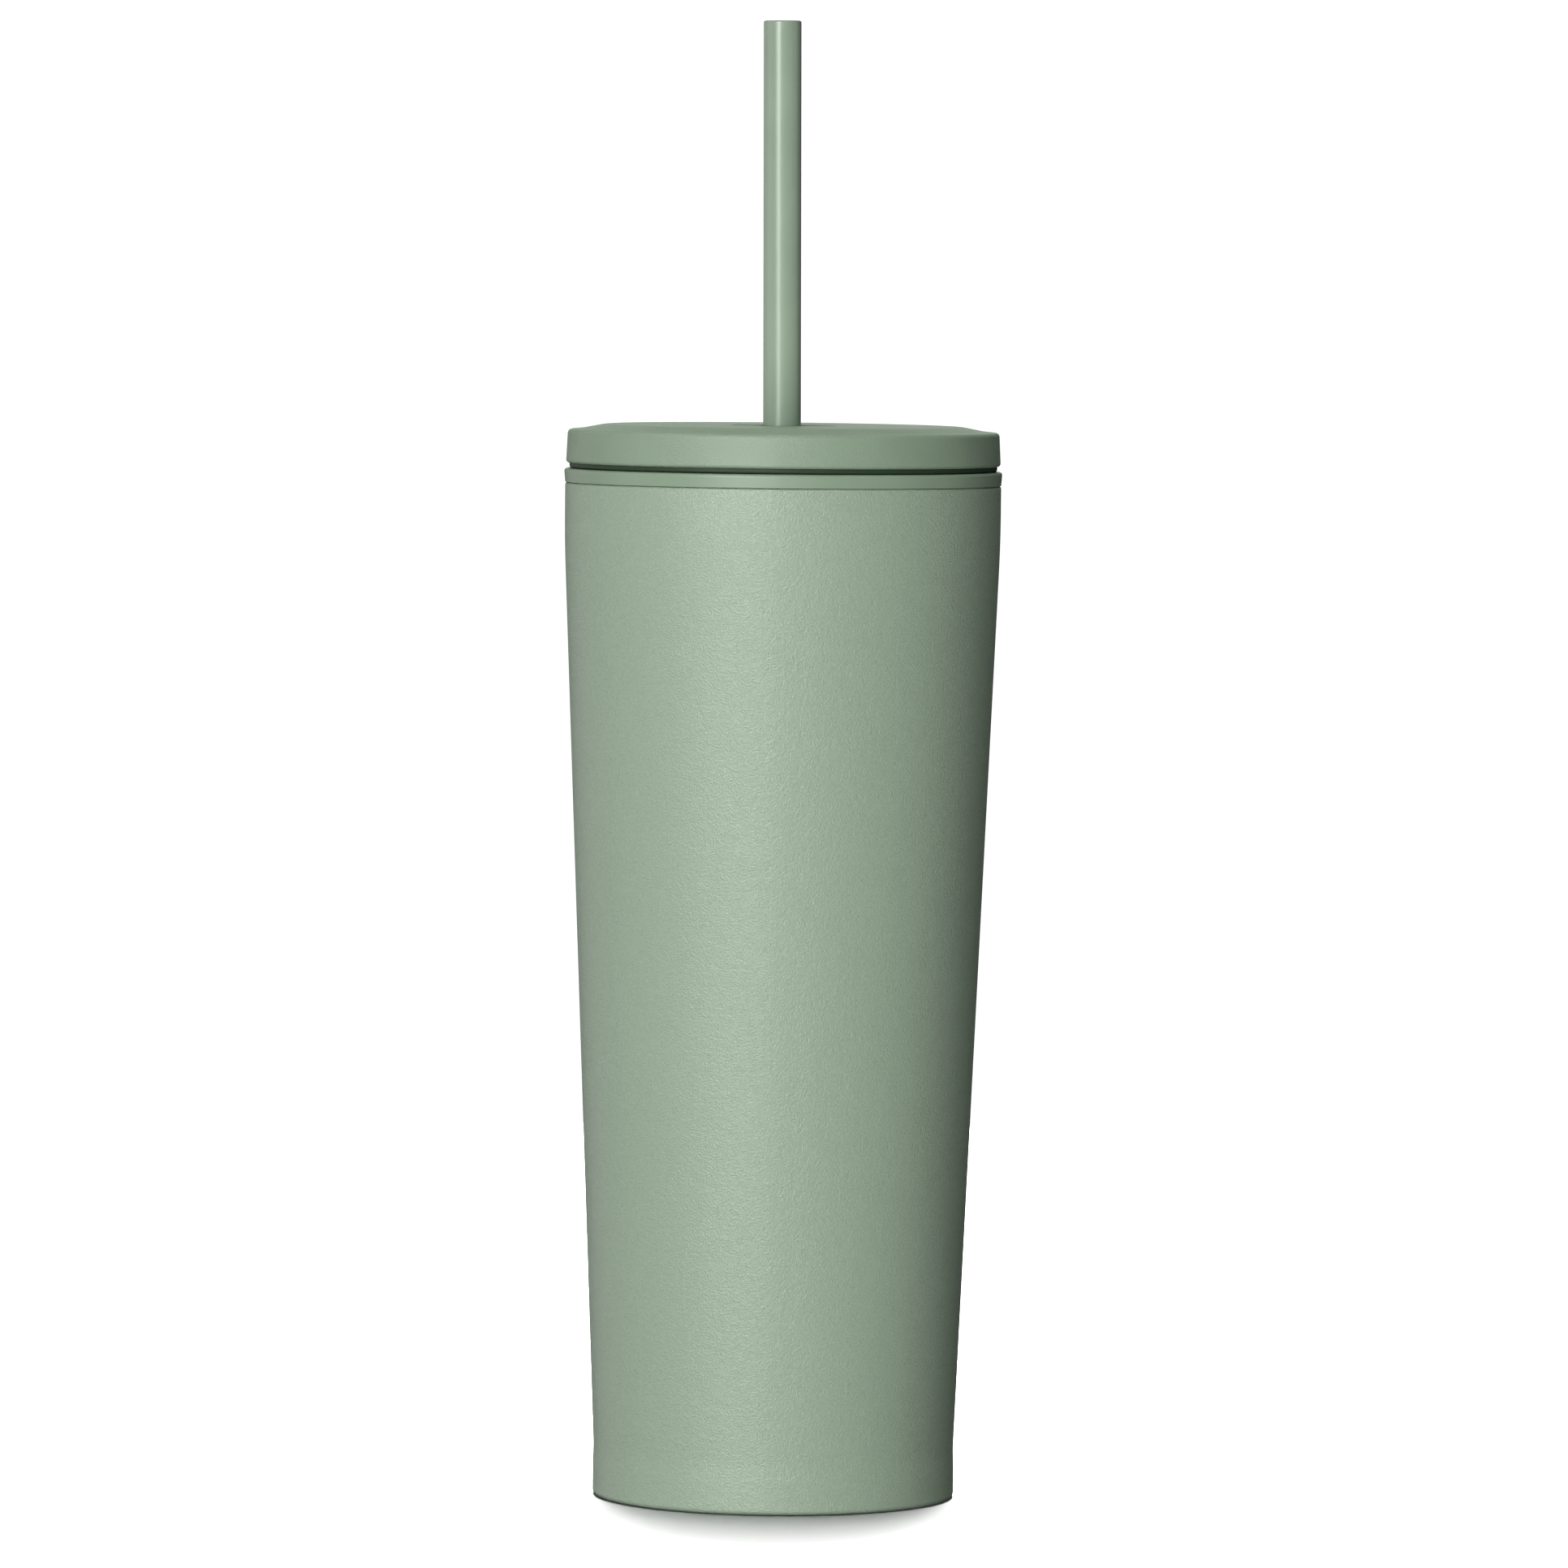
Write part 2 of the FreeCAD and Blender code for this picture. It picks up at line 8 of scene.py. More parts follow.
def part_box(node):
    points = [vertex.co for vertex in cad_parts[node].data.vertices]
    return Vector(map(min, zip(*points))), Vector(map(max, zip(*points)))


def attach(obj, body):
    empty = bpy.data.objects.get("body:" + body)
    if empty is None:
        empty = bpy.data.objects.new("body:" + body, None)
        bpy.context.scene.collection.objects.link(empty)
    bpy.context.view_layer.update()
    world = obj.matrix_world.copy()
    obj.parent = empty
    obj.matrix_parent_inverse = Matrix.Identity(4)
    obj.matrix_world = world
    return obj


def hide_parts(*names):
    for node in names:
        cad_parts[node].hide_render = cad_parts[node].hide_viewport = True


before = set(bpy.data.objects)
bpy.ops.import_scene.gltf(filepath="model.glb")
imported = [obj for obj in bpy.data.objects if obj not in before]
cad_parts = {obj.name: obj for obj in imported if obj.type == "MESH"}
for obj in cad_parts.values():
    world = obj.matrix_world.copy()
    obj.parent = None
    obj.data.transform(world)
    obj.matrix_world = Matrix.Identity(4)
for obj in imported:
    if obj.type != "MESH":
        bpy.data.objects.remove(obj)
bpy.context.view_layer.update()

# Insulated straw tumbler.  The turned pieces repeat the CAD outlines with finer facets, so the
# lengths below are millimetres, as they are there.  Everything in Blender is metres, +Z up.
MM = 0.001

# ---------------------------------------------------------------------------
# Driving dimensions, in millimetres.  Radii are from the piece's axis, heights from the table.
# STRAW_LEAN is in degrees.
# ---------------------------------------------------------------------------
BODY_RADIUS = 44.45
FOOT_RADIUS = 36.93
WAIST_RADIUS = 36.80
WAIST_HEIGHT = 9.6
SHOULDER_HEIGHT = 195.46
SHELL_TOP = 207.06
SHELL_BOTTOM = 0.15
SHELL_WALL = 0.6
NECK_RADIUS = 42.22
NECK_WALL = 0.5
NECK_TOP = 209.0
WELD_GAP = 0.02

MOUTH_RADIUS = 41.70
LINER_WALL = 0.5
LINER_INSET = 4.2
LINER_FLOOR = 10.5

SKIRT_BOTTOM = 211.0
PLATFORM_HEIGHT = 219.0
PLATFORM_WALL = 2.0
PLUG_BOTTOM = 200.0
PLUG_FLOOR = 1.6
GUIDE_RADIUS = 4.7

STRAW_RADIUS = 3.85
STRAW_BORE = 2.85
STRAW_LENGTH = 288.3
STRAW_FOOT = 13.0
STRAW_ENTRY_OFFSET = -0.36
STRAW_LEAN = 0.5
STRAW_CLEARANCE = 0.05

# ---------------------------------------------------------------------------
# How finely the turned pieces are divided, with lengths in millimetres
# ---------------------------------------------------------------------------
FACETS = 256
ARC_STEP = math.radians(9)
FEWEST_ARC_STEPS = 5
LONGEST_RUN = 6.0
SUPPORT = 0.12
SHARP_ANGLE = math.radians(28)
NEARLY_ZERO = 1e-6
FIT_TOLERANCE = 0.1

# ---------------------------------------------------------------------------
# Camera and light, in metres and degrees, with the lens and its sensor in millimetres.
# Azimuth 0 looks along +Y, and left is negative.
# ---------------------------------------------------------------------------
CAMERA_DISTANCE = 2.120
CAMERA_HEIGHT = 0.2555
CAMERA_SIDE = 0.0008
CAMERA_PITCH = 2.962
CAMERA_ROLL = 0.595
CAMERA_LENS = 238.7
CAMERA_SENSOR = 36.0
CAMERA_NEAR = 0.1

LIGHT_TARGET = Vector((0, 0, 0.12))
# name, azimuth, elevation, distance, width, height, power in watts, and whether reflections show it
SOFTBOXES = [
    ("key", -22, 2, 1.5, 0.50, 1.30, 9.5, True),
    ("key_top", -26, 20, 1.5, 0.70, 0.60, 15.5, True),
    ("left_fill", -90, 0, 1.6, 1.00, 1.50, 3.9, True),
    ("left_back", -135, 0, 1.7, 1.20, 1.50, 3.6, True),
    ("front_fill", -2, 0, 2.4, 0.90, 1.50, 39.5, False),
    ("right_fill", 52, -5, 2.4, 0.90, 1.50, 10.5, False),
    ("right_strip", 88, 0, 1.6, 0.40, 1.50, 1.0, True),
    ("top_back", 180, 65, 1.4, 1.20, 1.20, 25.5, False),
    ("low_back", 180, 10, 1.8, 0.60, 0.50, 1.4, True),
    ("back_fill", 178, 0, 2.0, 1.20, 1.50, 17.0, False),
]
STEEL_LIGHTS = [
    ("steel_front", 20, 58, 1.3, 1.40, 1.20, 60.0, True),
    ("steel_back", 200, 58, 1.3, 1.40, 1.20, 60.0, True),
    ("steel_below", -20, -70, 1.2, 1.20, 1.20, 16.0, True),
]
FLOOR_LIGHT = ("floor_light", 180, 70, 1.6, 0.70, 1.40, 120.0, False)
AMBIENT = 0.02
FLOOR_RADIUS = 0.9
DOME_RADIUS = 5.0
DOME_BRIGHTNESS = 1.1

# ---------------------------------------------------------------------------
# Colours
# ---------------------------------------------------------------------------
WHITE = (1, 1, 1, 1)
BLACK = (0, 0, 0, 1)
FLOOR_WHITE = (0.9, 0.9, 0.9, 1)
SAGE = (0.195, 0.252, 0.188)
CAP_SAGE = (0.153, 0.206, 0.146)
# The seal's green is darkened to near black: painted shade for the dark gap between lid and rim.
SEAL_PAINTED_SHADE_GREEN = (0.013, 0.027, 0.013)
# The grommet's green is darker than the lid's: painted shade round the straw.
GROMMET_PAINTED_SHADE_GREEN = (0.105, 0.150, 0.101)
PAD_GREY = (0.05, 0.055, 0.05)
STEEL = (0.64, 0.63, 0.615)
COPPER_DULL, COPPER_BRIGHT = (0.66, 0.31, 0.19), (0.80, 0.43, 0.29)
SOLDER_AMBER, SOLDER_DARK = (0.10, 0.085, 0.06), (0.03, 0.028, 0.022)
# The getter's pores are coloured darker: painted shade in the pits.
GETTER_PORE_PAINTED_SHADE, GETTER_GREY = (0.16, 0.15, 0.145), (0.30, 0.29, 0.28)


# ---------------------------------------------------------------------------
# Outlines and turned meshes
# ---------------------------------------------------------------------------
def cone_radius(height):
    """The outer shell's radius at a height on its long taper."""
    slope = (BODY_RADIUS - WAIST_RADIUS) / (SHOULDER_HEIGHT - WAIST_HEIGHT)
    return WAIST_RADIUS + slope * (height - WAIST_HEIGHT)


def rounded_corner(before, corner, after, rounding):
    """Points of the arc that rounds one corner of an outline."""
    arriving = (corner - before).normalized()
    leaving = (after - corner).normalized()
    turn = math.atan2(arriving.x * leaving.y - arriving.y * leaving.x, arriving.dot(leaving))
    reach = rounding * math.tan(abs(turn) / 2)
    inward = Vector((-arriving.y, arriving.x)) * math.copysign(rounding, turn)
    centre = corner - arriving * reach + inward
    steps = max(FEWEST_ARC_STEPS, math.ceil(abs(turn) / ARC_STEP))
    return [
        centre + Matrix.Rotation(turn * step / steps, 2) @ -inward
        for step in range(steps + 1)
    ]


def straight_run(start, end):
    """Points between two ends, with one close to each end so that shading stays crisp there."""
    length = (end - start).length
    if length < 4 * SUPPORT:
        return []
    along = (end - start) / length
    parts = math.ceil((length - 2 * SUPPORT) / LONGEST_RUN)
    stride = (length - 2 * SUPPORT) / parts
    return [start + along * (SUPPORT + stride * part) for part in range(parts + 1)]


def outline_points(corners):
    """A closed outline through (radius, height) or (radius, height, rounding) corners."""
    sharp = [Vector(corner[:2]) for corner in corners]
    count = len(corners)
    stretches = []
    for i, corner in enumerate(corners):
        if len(corner) == 3:
            arc = rounded_corner(sharp[i - 1], sharp[i], sharp[(i + 1) % count], corner[2])
            stretches.append(arc)
        else:
            stretches.append([sharp[i]])
    points = []
    for i, stretch in enumerate(stretches):
        following = stretches[(i + 1) % count]
        points += stretch
        points += straight_run(stretch[-1], following[0])
    return points


def turned_mesh(name, corners, axis_offset=None):
    """A mesh turned about Z.  axis_offset(radius, height) moves a ring's centre along X."""
    vertices = []
    rings = []
    for radius, height in outline_points(corners):
        first = len(vertices)
        if radius < NEARLY_ZERO:
            vertices.append(Vector((0, 0, height)) * MM)
            rings.append([first] * FACETS)
            continue
        shift = axis_offset(radius, height) if axis_offset else 0.0
        for step in range(FACETS):
            angle = math.tau * step / FACETS
            point = Vector((shift + radius * math.cos(angle), radius * math.sin(angle), height))
            vertices.append(point * MM)
        rings.append(list(range(first, first + FACETS)))

    faces = []
    for i, lower in enumerate(rings):
        upper = rings[(i + 1) % len(rings)]
        for a in range(FACETS):
            b = (a + 1) % FACETS
            loop = list(dict.fromkeys([lower[a], lower[b], upper[b], upper[a]]))
            if len(loop) > 2:
                faces.append(loop)

    mesh = bpy.data.meshes.new(name)
    mesh.from_pydata(vertices, [], faces)
    mesh.shade_smooth()
    mesh.set_sharp_from_angle(angle=SHARP_ANGLE)
    return mesh


def place(name, mesh, body, node, material):
    """Show a mesh in place of its CAD node, riding on that node's body."""
    piece = bpy.data.objects.new(name, mesh)
    bpy.context.scene.collection.objects.link(piece)
    mesh.materials.append(material)
    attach(piece, body)
    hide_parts(node)
    check_fit(piece, node)
    return piece


def check_fit(piece, node):
    """Stop if a piece isn't where its CAD node is."""
    low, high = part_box(node)
    points = [vertex.co for vertex in piece.data.vertices]
    for axis in range(3):
        values = [point[axis] for point in points]
        gap = max(abs(min(values) - low[axis]), abs(max(values) - high[axis]))
        if gap > FIT_TOLERANCE * MM:
            raise RuntimeError(f"{piece.name} leaves {node} by {gap / MM:.3f} mm")


# ---------------------------------------------------------------------------
# Materials
# ---------------------------------------------------------------------------
class Finish:
    """A material whose pattern is drawn by nodes round one Principled shader."""

    def __init__(self, name, **values):
        self.material = bpy.data.materials.new(name)
        self.material.use_nodes = True
        self.tree = self.material.node_tree
        self.shader = self.tree.nodes["Principled BSDF"]
        self.coordinates = self.tree.nodes.new("ShaderNodeTexCoord").outputs["Object"]
        self.set(**values)

    def set(self, **values):
        """Set the shader's sockets, such as Coat_Weight=0.2, to a number or a node's output."""
        for name, value in values.items():
            self.feed(self.shader.inputs[name.replace("_", " ")], value)

    def feed(self, socket, value):
        """Give a socket a plain value, or link a node's output to it."""
        if isinstance(value, bpy.types.NodeSocket):
            self.tree.links.new(value, socket)
        else:
            socket.default_value = value

    def add(self, kind, inputs, **settings):
        """Add a node of that kind, change its settings and feed its inputs."""
        made = self.tree.nodes.new(f"ShaderNode{kind}")
        for name, value in settings.items():
            setattr(made, name, value)
        for name, value in inputs.items():
            self.feed(made.inputs[name], value)
        return made

    def grain(self, size, detail=2.0, roughness=0.55, along=None):
        """Noise whose lumps are about size millimetres across."""
        inputs = {
            "Vector": along or self.coordinates,
            "Scale": 1 / (size * MM),
            "Detail": detail,
            "Roughness": roughness,
        }
        return self.add("TexNoise", inputs).outputs["Fac"]

    def pits(self, size):
        """Rounded cells about size millimetres across, 0 in the middle of each."""
        inputs = {"Vector": self.coordinates, "Scale": 1 / (size * MM)}
        return self.add("TexVoronoi", inputs, feature="SMOOTH_F1").outputs["Distance"]

    def span(self, value, low, high, start=0.3, end=0.7):
        """Stretch the middle of a pattern over the numbers low to high."""
        inputs = {"Value": value, "From Min": start, "From Max": end, "To Min": low, "To Max": high}
        return self.add("MapRange", inputs).outputs["Result"]

    def total(self, first, second, share=1.0):
        """first + share x second."""
        node = self.add("Math", {}, operation="MULTIPLY_ADD")
        self.feed(node.inputs[0], second)
        self.feed(node.inputs[1], share)
        self.feed(node.inputs[2], first)
        return node.outputs["Value"]

    def shades(self, value, dark, light, start=0.3, end=0.7):
        """Colours from dark to light over the middle of a pattern."""
        ramp = self.add("ValToRGB", {"Fac": value})
        for stop, position, colour in zip(ramp.color_ramp.elements, (start, end), (dark, light)):
            stop.position = position
            stop.color = (*colour, 1)
        return ramp.outputs["Color"]

    def relief(self, height, depth):
        """Raise the surface by a pattern, depth millimetres from low to high."""
        inputs = {"Height": height, "Distance": depth * MM, "Strength": 1.0}
        self.set(Normal=self.add("Bump", inputs).outputs["Normal"])

    def turning(self, bands):
        """Coordinates that draw patterns out into rings round Z, on walls and floors alike.

        They have no unit: one is the width of a band, and bands is how many there are to a metre.
        """
        parts = self.add("SeparateXYZ", {"Vector": self.coordinates}).outputs
        flat = self.add("CombineXYZ", {"X": parts["X"], "Y": parts["Y"]}).outputs["Vector"]
        radius = self.add("VectorMath", {0: flat}, operation="LENGTH").outputs["Value"]
        spoke = self.add("VectorMath", {0: flat}, operation="NORMALIZE").outputs["Vector"]
        around = self.add("SeparateXYZ", {"Vector": spoke}).outputs
        rise = self.total(parts["Z"], radius)
        scaled = self.add("Math", {0: rise, 1: bands}, operation="MULTIPLY")
        arc = {"X": around["X"], "Y": around["Y"], "Z": scaled.outputs["Value"]}
        return self.add("CombineXYZ", arc).outputs["Vector"]


def tinted(colour, factor):
    """A colour made lighter or darker."""
    return tuple(channel * factor for channel in colour)


def powder_coat():
    """Baked powder: a fine orange peel with a sandy sparkle."""
    finish = Finish("powder_coat_sage")
    sand = finish.grain(0.33, detail=1.0)
    peel = finish.grain(1.1, detail=1.0)
    height = finish.total(sand, peel, 0.5)
    finish.set(
        Base_Color=finish.shades(sand, tinted(SAGE, 0.93), tinted(SAGE, 1.07)),
        Roughness=finish.span(sand, 0.42, 0.32),
    )
    finish.relief(height, 0.16)
    return finish.material


def moulded_plastic(name, colour, size, depth, smooth, rough):
    """Spark-eroded moulded plastic, with a grain of that size and depth in millimetres."""
    finish = Finish(name)
    grain = finish.grain(size, detail=2.0)
    cloud = finish.grain(14.0, detail=1.0)
    finish.set(
        Base_Color=finish.shades(cloud, tinted(colour, 0.97), tinted(colour, 1.03)),
        Roughness=finish.span(grain, rough, smooth),
    )
    finish.relief(grain, depth)
    return finish.material


def silicone(name, colour):
    """Soft moulded silicone: dull and faintly cloudy, with a fine mould grain."""
    finish = Finish(name, Specular_IOR_Level=0.35)
    grain = finish.grain(0.30, detail=1.0)
    cloud = finish.grain(6.0, detail=2.0)
    finish.set(
        Base_Color=finish.shades(cloud, tinted(colour, 0.94), tinted(colour, 1.06)),
        Roughness=finish.span(cloud, 0.56, 0.68),
    )
    finish.relief(grain, 0.008)
    return finish.material


def extruded_plastic():
    """Glossy extruded straw: faint draw lines along it and a very slight waviness."""
    finish = Finish("straw_sage")
    stretch = finish.add("Mapping", {"Vector": finish.coordinates, "Scale": (1, 1, 0.03)})
    lines = finish.grain(0.6, detail=1.0, along=stretch.outputs["Vector"])
    speckle = finish.grain(0.35, detail=1.0)
    cloud = finish.grain(9.0, detail=1.0)
    finish.set(
        Base_Color=finish.shades(cloud, tinted(SAGE, 0.90), tinted(SAGE, 0.95)),
        Roughness=finish.span(speckle, 0.20, 0.26),
    )
    finish.relief(finish.total(lines, speckle, 0.4), 0.0004)
    return finish.material


def turned_steel(name, colour, bands, smooth, rough):
    """Buffed steel: soft bands round Z, so many to a metre, smoother and rougher by turns."""
    finish = Finish(name, Metallic=1.0)
    band_width = 1 / MM
    rings = finish.grain(band_width, detail=3.0, roughness=0.7, along=finish.turning(bands))
    cloud = finish.grain(18.0, detail=2.0)
    finish.set(
        Base_Color=finish.shades(cloud, tinted(colour, 0.94), tinted(colour, 1.04)),
        Roughness=finish.span(rings, smooth, rough),
    )
    finish.relief(rings, 0.004)
    return finish.material


def copper_foil():
    """Thin copper foil: bright, softly creased, with duller patches."""
    finish = Finish("copper_foil", Metallic=1.0)
    creases = finish.grain(3.0, detail=4.0, roughness=0.65)
    patches = finish.grain(12.0, detail=2.0)
    finish.set(
        Base_Color=finish.shades(patches, COPPER_DULL, COPPER_BRIGHT),
        Roughness=finish.span(patches, 0.22, 0.40),
    )
    finish.relief(creases, 0.05)
    return finish.material


def solder_glass():
    """Dark glass solder, frozen as it spread, with small bubbles under a glossy skin."""
    finish = Finish("solder_glass", IOR=1.6, Coat_Weight=0.6, Coat_Roughness=0.05)
    bubbles = finish.pits(0.5)
    flow = finish.grain(2.0, detail=2.0)
    finish.set(
        Base_Color=finish.shades(bubbles, SOLDER_AMBER, SOLDER_DARK, start=0.1, end=0.5),
        Roughness=finish.span(flow, 0.10, 0.24),
    )
    finish.relief(flow, 0.02)
    return finish.material


def getter_metal():
    """Pressed and sintered powder: dark, porous and rough, with painted shade darkening its pores."""
    finish = Finish("getter_metal", Metallic=0.7)
    pores = finish.pits(0.25)
    powder = finish.grain(0.15, detail=3.0)
    finish.set(
        Base_Color=finish.shades(pores, GETTER_PORE_PAINTED_SHADE, GETTER_GREY, start=0.1, end=0.5),
        Roughness=finish.span(powder, 0.62, 0.85),
    )
    finish.relief(finish.total(pores, powder, 0.5), 0.03)
    return finish.material


def rolled_steel(name, colour):
    """Rolled steel strap: straight roll lines along it."""
    finish = Finish(name, Metallic=1.0)
    stretch = finish.add("Mapping", {"Vector": finish.coordinates, "Scale": (1, 0.04, 1)})
    lines = finish.grain(0.12, detail=2.0, along=stretch.outputs["Vector"])
    finish.set(
        Base_Color=finish.shades(lines, tinted(colour, 0.9), tinted(colour, 1.05)),
        Roughness=finish.span(lines, 0.28, 0.42),
    )
    finish.relief(lines, 0.004)
    return finish.material


# ---------------------------------------------------------------------------
# The cup
# ---------------------------------------------------------------------------
def make_shell():
    """Drawn steel wall, flared foot to turned-in shoulder, with a thin neck for the liner."""
    inside = BODY_RADIUS - SHELL_WALL
    neck_outer = NECK_RADIUS + NECK_WALL
    foot_height = 7.0
    foot_rounding, waist_rounding, shoulder_rounding = 30.0, 38.0, 280.0
    edge_rounding, seam_rounding = 1.0, 0.5
    lip = 33.0
    corners = [
        (lip, SHELL_BOTTOM),
        (FOOT_RADIUS, SHELL_BOTTOM, edge_rounding),
        (FOOT_RADIUS, foot_height, foot_rounding),
        (WAIST_RADIUS, WAIST_HEIGHT, waist_rounding),
        (BODY_RADIUS, SHOULDER_HEIGHT, shoulder_rounding),
        (BODY_RADIUS, SHELL_TOP, seam_rounding),
        (neck_outer, SHELL_TOP),
        (neck_outer, NECK_TOP),
        (NECK_RADIUS, NECK_TOP),
        (NECK_RADIUS, SHELL_TOP - SHELL_WALL),
        (inside, SHELL_TOP - SHELL_WALL),
        (inside, SHOULDER_HEIGHT, shoulder_rounding),
        (WAIST_RADIUS - SHELL_WALL, WAIST_HEIGHT, waist_rounding),
        (FOOT_RADIUS - SHELL_WALL, foot_height, foot_rounding),
        (FOOT_RADIUS - SHELL_WALL, SHELL_BOTTOM + SHELL_WALL, edge_rounding - SHELL_WALL),
        (lip, SHELL_BOTTOM + SHELL_WALL),
    ]
    mesh = turned_mesh("shell", corners)
    return place("shell", mesh, "cup", "outer_shell", powder_coat())


def make_liner(steel):
    """Drinking vessel: a straight mouth for the lid, an ogee, a long taper and a round floor."""
    mouth_foot, ogee_foot = 199.0, 194.0
    floor_rounding, ogee_rounding = 8.0, 17.0
    lower = cone_radius(LINER_FLOOR) - LINER_INSET
    upper = cone_radius(ogee_foot) - LINER_INSET
    corners = [
        (0, LINER_FLOOR - LINER_WALL),
        (lower + LINER_WALL, LINER_FLOOR - LINER_WALL, floor_rounding + LINER_WALL),
        (upper + LINER_WALL, ogee_foot, ogee_rounding),
        (MOUTH_RADIUS + LINER_WALL, mouth_foot, ogee_rounding),
        (MOUTH_RADIUS + LINER_WALL, NECK_TOP),
        (MOUTH_RADIUS, NECK_TOP),
        (MOUTH_RADIUS, mouth_foot, ogee_rounding),
        (upper, ogee_foot, ogee_rounding),
        (lower, LINER_FLOOR, floor_rounding),
        (0, LINER_FLOOR),
    ]
    mesh = turned_mesh("liner", corners)
    return place("liner", mesh, "cup", "inner_liner", steel)


def make_base_cover(steel):
    """Dished steel disc pressed into the foot."""
    radius, wall, rounding = 32.95, 0.5, 0.9
    bottom, rim = 0.62, 3.6
    corners = [
        (0, bottom),
        (radius, bottom, rounding),
        (radius, rim),
        (radius - wall, rim),
        (radius - wall, bottom + wall, rounding - wall),
        (0, bottom + wall),
    ]
    mesh = turned_mesh("base_disc", corners)
    return place("base_disc", mesh, "cup", "base_cover", steel)


def make_base_pad():
    """Silicone ring with two round grooves, on which the tumbler stands."""
    inner, outer, top = 20.0, 31.0, 0.6
    groove_width, groove_depth, rounding = 1.0, 0.3, 0.2
    third = (outer - inner) / 3
    corners = [(inner, top), (inner, 0, rounding)]
    for start in (inner + third, inner + 2 * third):
        end = start + groove_width
        corners += [
            (start, 0, rounding),
            (start, groove_depth),
            (end, groove_depth),
            (end, 0, rounding),
        ]
    corners += [(outer, 0, rounding), (outer, top)]
    mesh = turned_mesh("foot_ring", corners)
    material = silicone("pad_silicone", PAD_GREY)
    return place("foot_ring", mesh, "cup", "base_pad", material)


def make_collar():
    """Moulded drinking rim, slightly wider than the shell below it."""
    top, bottom = 209.94, 207.12
    bore, skirt_bore, lip = 41.95, 42.76, 44.69
    seam_rounding, lip_rounding, bore_rounding = 0.12, 0.6, 0.35
    underside = NECK_TOP + WELD_GAP
    corners = [
        (skirt_bore, bottom),
        (BODY_RADIUS, bottom, seam_rounding),
        (lip, top, lip_rounding),
        (bore, top, bore_rounding),
        (bore, underside),
        (skirt_bore, underside),
    ]
    mesh = turned_mesh("collar", corners)
    material = moulded_plastic("collar_sage", CAP_SAGE, size=0.35, depth=0.025, smooth=0.36, rough=0.46)
    return place("collar", mesh, "cup", "rim_collar", material)


# ---------------------------------------------------------------------------
# The lid
# ---------------------------------------------------------------------------
def make_cap():
    """Moulded top: flat platform, falling shoulder, drafted skirt and a recessed straw hole."""
    skirt, skirt_rounding, skirt_bore, skirt_bore_top = 44.31, 0.7, 42.4, 215.9
    edge, edge_height, edge_rounding = 43.98, 217.86, 0.9
    slope, slope_height, slope_rounding = 41.0, 218.14, 8.0
    platform, platform_rounding = 36.5, 7.0
    rib_inner, rib_outer, rib_bottom = 38.2, 39.6, 213.4
    recess, recess_depth, hole = 10.8, 0.35, 6.3
    under = PLATFORM_HEIGHT - PLATFORM_WALL
    corners = [
        (skirt_bore, SKIRT_BOTTOM),
        (skirt, SKIRT_BOTTOM, skirt_rounding),
        (edge, edge_height, edge_rounding),
        (slope, slope_height, slope_rounding),
        (platform, PLATFORM_HEIGHT, platform_rounding),
        (recess, PLATFORM_HEIGHT),
        (recess, PLATFORM_HEIGHT - recess_depth),
        (hole, PLATFORM_HEIGHT - recess_depth),
        (hole, under),
        (rib_inner, under),
        (rib_inner, rib_bottom),
        (rib_outer, rib_bottom),
        (rib_outer, skirt_bore_top),
        (skirt_bore, skirt_bore_top),
    ]
    mesh = turned_mesh("cap", corners)
    material = moulded_plastic("cap_sage", CAP_SAGE, size=0.33, depth=0.11, smooth=0.42, rough=0.52)
    return place("cap", mesh, "lid", "lid_cap", material)


def make_plug():
    """Closed pan under the cap, with a tube that guides the straw."""
    ledge, ledge_top, wall = 41.2, 202.9, 40.3
    shoulder, shoulder_bottom, shoulder_top = 42.3, 211.04, 215.7
    bore, rib_seat, rib_floor = 38.8, 39.7, 213.0
    tube, cup_outer, cup_bore = 6.2, 8.8, 7.4
    cup_floor, cup_underside, cup_top = 213.9, 212.6, 216.9
    edge_rounding = 1.2
    floor = PLUG_BOTTOM + PLUG_FLOOR
    corners = [
        (GUIDE_RADIUS, PLUG_BOTTOM),
        (ledge, PLUG_BOTTOM, edge_rounding),
        (ledge, ledge_top),
        (wall, ledge_top),
        (wall, shoulder_bottom),
        (shoulder, shoulder_bottom),
        (shoulder, shoulder_top),
        (rib_seat, shoulder_top),
        (rib_seat, rib_floor),
        (bore, rib_floor),
        (bore, floor, edge_rounding),
        (tube, floor, edge_rounding),
        (tube, cup_underside),
        (cup_outer, cup_underside),
        (cup_outer, cup_top),
        (cup_bore, cup_top),
        (cup_bore, cup_floor),
        (GUIDE_RADIUS, cup_floor),
    ]
    mesh = turned_mesh("plug", corners)
    material = moulded_plastic("plug_sage", CAP_SAGE, size=0.35, depth=0.025, smooth=0.40, rough=0.50)
    return place("plug", mesh, "lid", "lid_plug", material)


